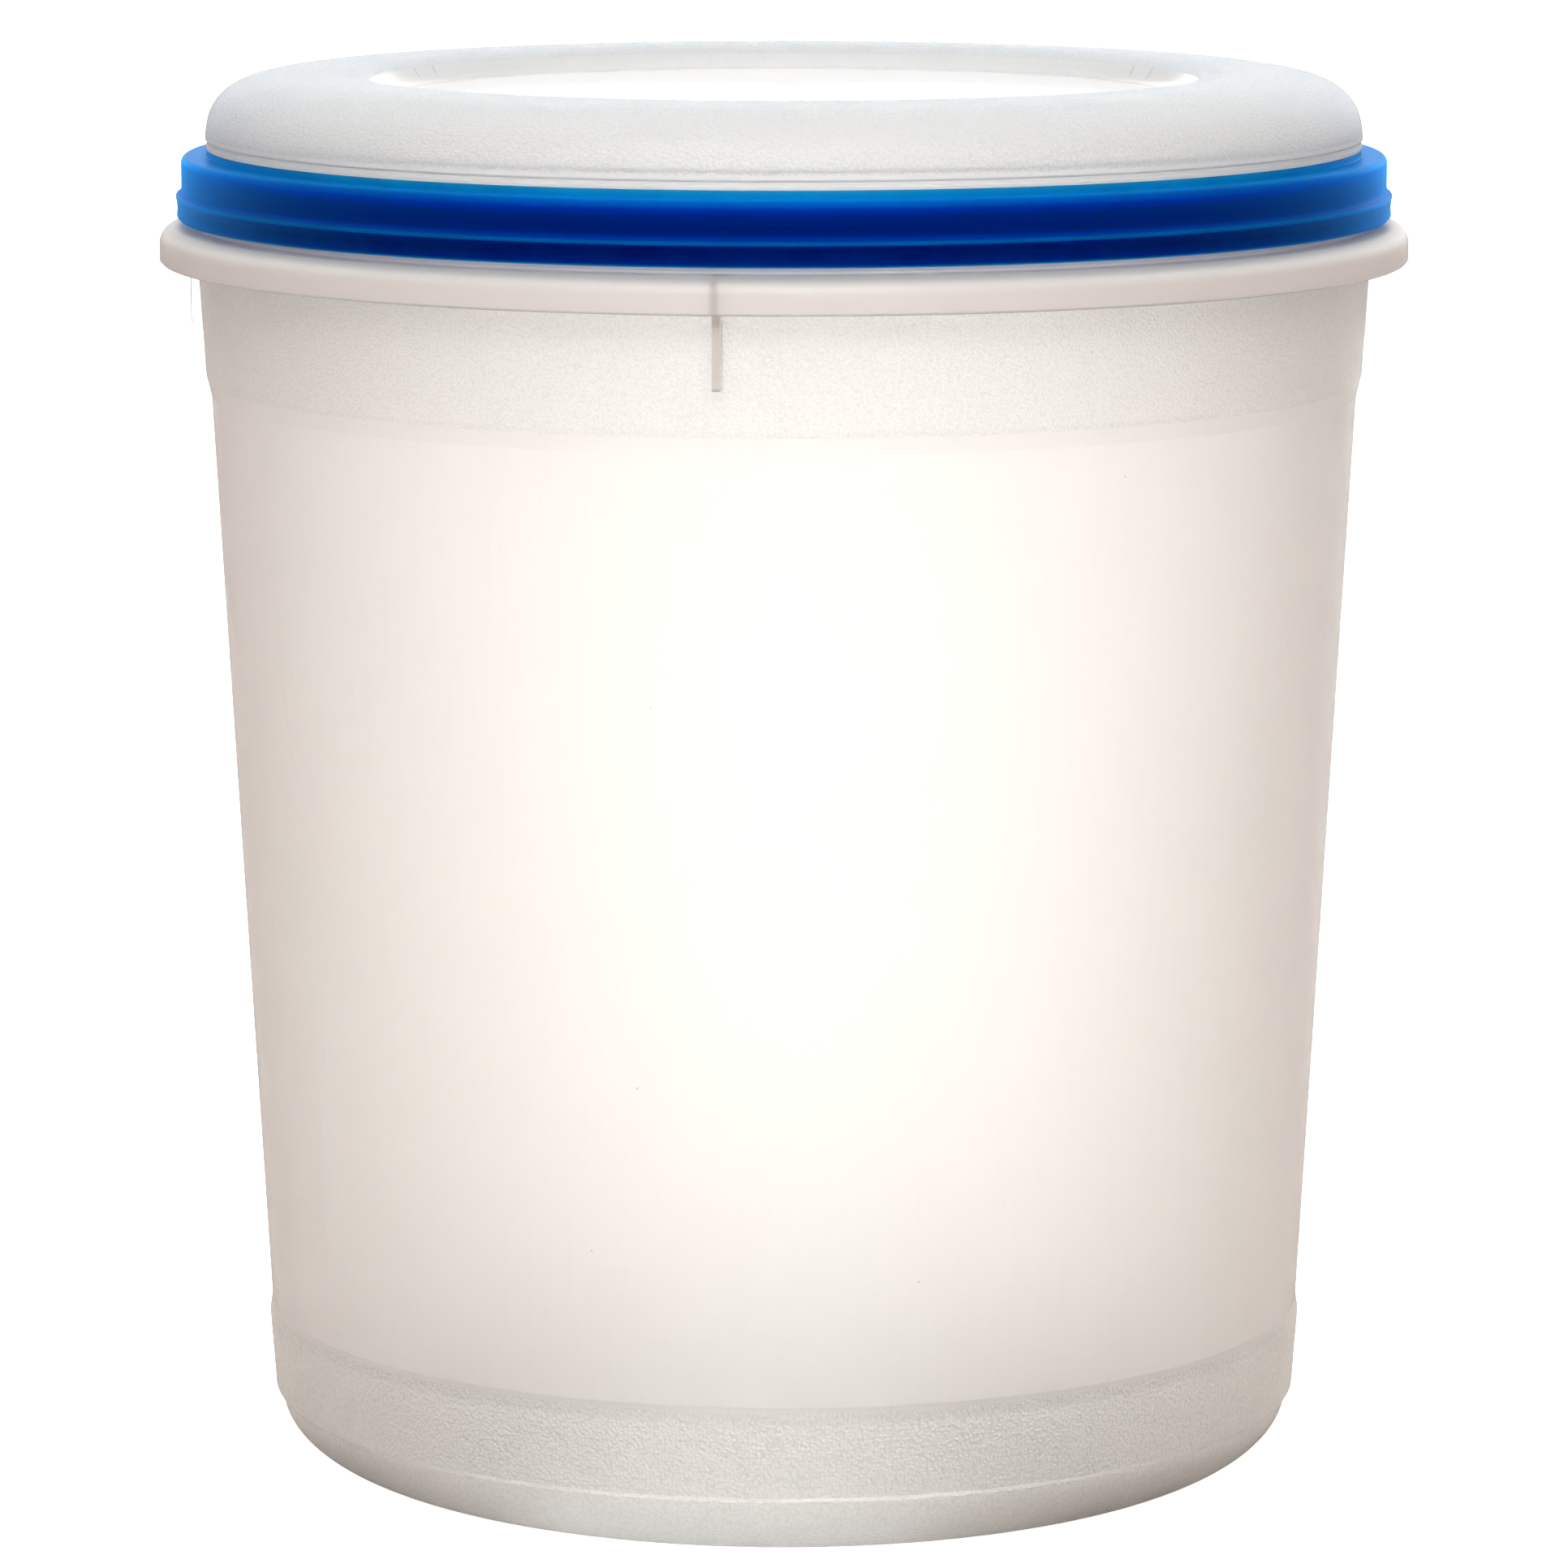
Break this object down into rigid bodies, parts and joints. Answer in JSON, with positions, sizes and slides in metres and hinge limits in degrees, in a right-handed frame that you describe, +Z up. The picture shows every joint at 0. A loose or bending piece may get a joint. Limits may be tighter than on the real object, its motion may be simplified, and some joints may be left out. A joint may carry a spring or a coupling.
{
  "type": "bear canister",
  "caption": "Round tapered translucent food canister with a flanged rim and a push-on domed lid with a stacking recess.",
  "frame": {"origin": "centre of the base, on the surface the canister stands on", "axes": "+Z up along the canister's axis, -Y is the front"},
  "size_m": [0.24, 0.24, 0.2706],
  "materials": {
    "natural_pp": "translucent natural polypropylene, smooth side, pebble grain on the bands and base",
    "natural_pp_dome": "translucent natural polypropylene, fine grain outside, gloss in the recess",
    "blue_pe": "semi-translucent blue polyethylene, satin gloss",
    "seal_rubber": "soft pale silicone"
  },
  "bodies": {
    "container": {"canister": "natural_pp"},
    "lid": {"lid_ring": "blue_pe", "lid_seal": "seal_rubber", "lid_dome": "natural_pp_dome"}
  },
  "joints": [
    {"name": "lid_lift", "type": "slide", "parent": "container", "child": "lid", "axis": [0, 0, 1], "range_m": [0, 0.06]}
  ]
}
